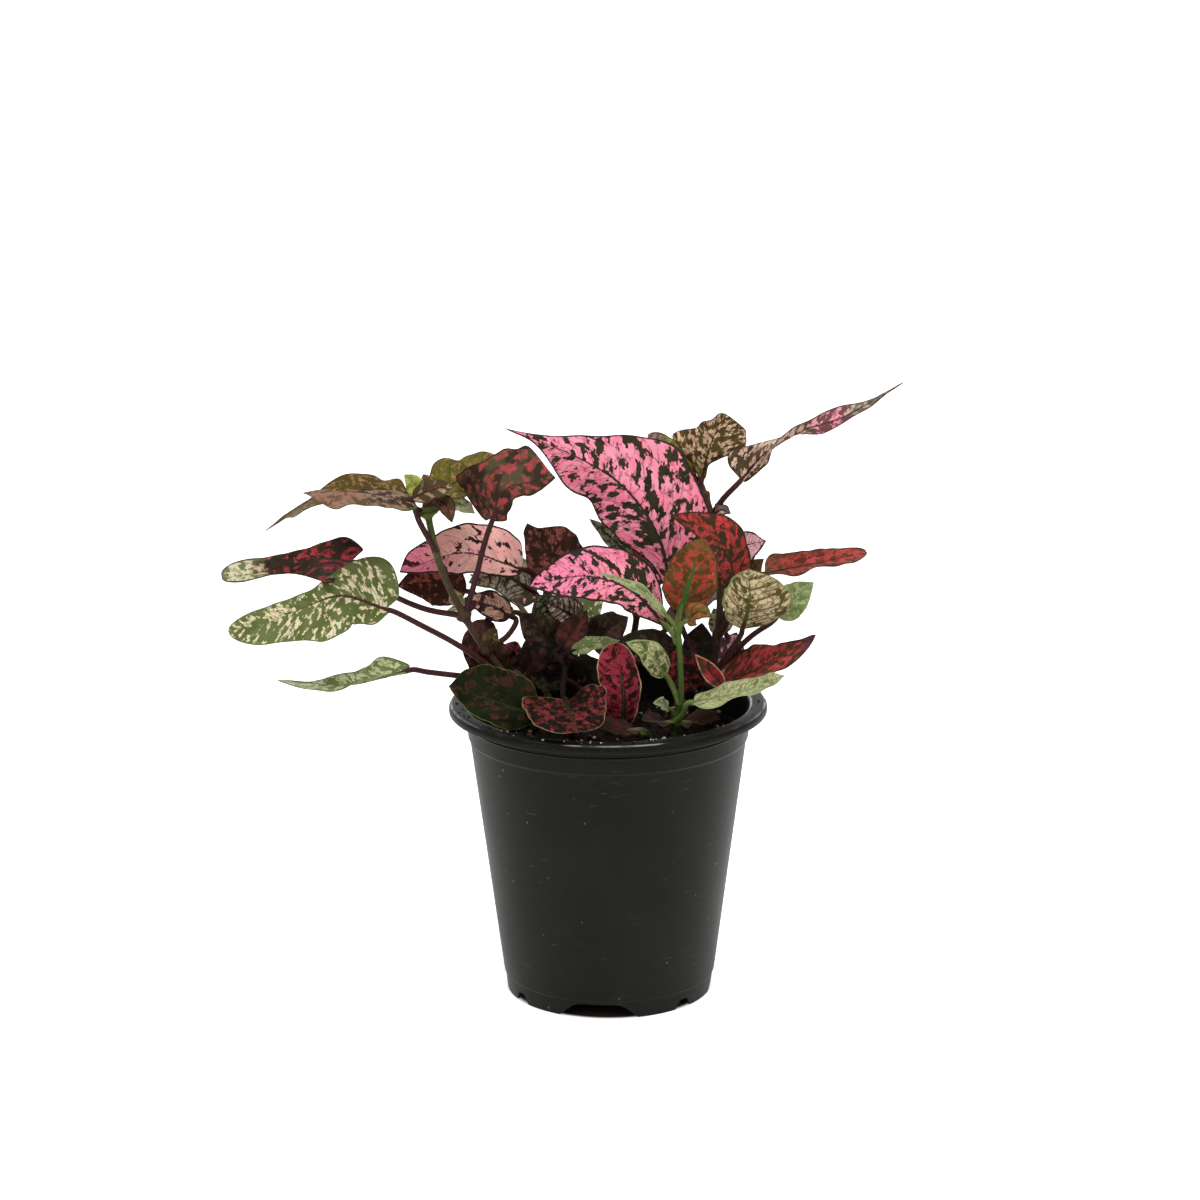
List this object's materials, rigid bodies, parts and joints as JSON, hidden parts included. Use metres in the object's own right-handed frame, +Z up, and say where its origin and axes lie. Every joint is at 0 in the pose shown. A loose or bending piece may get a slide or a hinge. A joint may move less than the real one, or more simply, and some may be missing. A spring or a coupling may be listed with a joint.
{
  "type": "potted plant",
  "caption": "Bushy polka dot plant with pink, red and cream spotted leaves on upright stems, growing in a small round near-black plastic nursery pot filled with peat.",
  "frame": {"origin": "centre of the pot's foot, on the surface that the pot stands on", "axes": "+Z up, -Y towards the viewer of the pictured front, +X to that viewer's right"},
  "size_m": [0.2265, 0.1201, 0.2094],
  "materials": {
    "pot": "satin near-black moulded plastic with fine scuffs",
    "soil": "rough dark moist peat with perlite grains",
    "stem_purple": "satin purple-brown stalk with fine hairs",
    "stem_green": "satin light green stalk with fine hairs",
    "leaf_pink": "satin pink leaf with a broken net of dark green spots",
    "leaf_pale": "satin pale pink leaf with dark green veins",
    "leaf_red": "satin dark green leaf covered with red spots",
    "leaf_crimson": "satin crimson leaf with a dark middle and a pale margin",
    "leaf_cream": "satin cream leaf with green veins",
    "leaf_olive": "satin olive leaf with cream flecks",
    "leaf_maroon": "satin maroon leaf with dull pink spots",
    "leaf_dark": "satin dark green leaf with dull red spots"
  },
  "bodies": {
    "root": {"pot": "pot", "soil": "soil", "stem_left": "stem_purple", "leaf_left_tail": "leaf_olive", "leaf_left_rosy": "leaf_pale", "leaf_left_lobed": "leaf_olive", "leaf_left_red": "leaf_red", "leaf_left_scarlet": "leaf_red", "leaf_left_cream": "leaf_cream", "leaf_left_slender": "leaf_cream", "leaf_left_maroon": "leaf_maroon", "leaf_left_salmon": "leaf_pale", "leaf_left_dusky": "leaf_maroon", "stem_centre": "stem_purple", "leaf_centre_pale": "leaf_pale", "leaf_centre_veined": "leaf_cream", "leaf_centre_spotted": "leaf_maroon", "leaf_centre_shade": "leaf_dark", "leaf_centre_inner": "leaf_maroon", "stem_green": "stem_green", "leaf_green_ovate": "leaf_red", "leaf_green_folded": "leaf_cream", "leaf_green_pink": "leaf_pink", "leaf_green_low": "leaf_cream", "leaf_green_right": "leaf_cream", "stem_right": "stem_purple", "leaf_right_grey": "leaf_olive", "leaf_right_olive": "leaf_olive", "leaf_right_twisted": "leaf_maroon", "leaf_hero_pink": "leaf_pink", "leaf_right_red": "leaf_red", "leaf_right_rose": "leaf_pink", "leaf_right_brown": "leaf_maroon", "leaf_right_long": "leaf_red", "leaf_right_cream": "leaf_cream", "leaf_right_pale": "leaf_cream", "leaf_right_scarlet": "leaf_red", "leaf_right_lilac": "leaf_pale", "leaf_right_small": "leaf_cream", "leaf_right_inner": "leaf_dark", "leaf_right_low": "leaf_maroon", "leaf_right_folded": "leaf_red", "stem_front": "stem_green", "leaf_front_crimson": "leaf_crimson", "stem_front_left": "stem_purple", "leaf_front_heart": "leaf_crimson", "leaf_front_dark": "leaf_dark", "leaf_front_pointed": "leaf_red", "leaf_front_sliver": "leaf_cream", "stem_back": "stem_purple", "leaf_back_slender": "leaf_dark", "leaf_back_tall": "leaf_red", "leaf_back_left": "leaf_cream", "leaf_back_right": "leaf_maroon", "leaf_back_hanging": "leaf_red", "stem_back_left": "stem_green", "leaf_back_pink": "leaf_pink", "leaf_back_olive": "leaf_olive", "leaf_back_rim": "leaf_crimson", "leaf_back_side": "leaf_cream"}
  },
  "joints": []
}
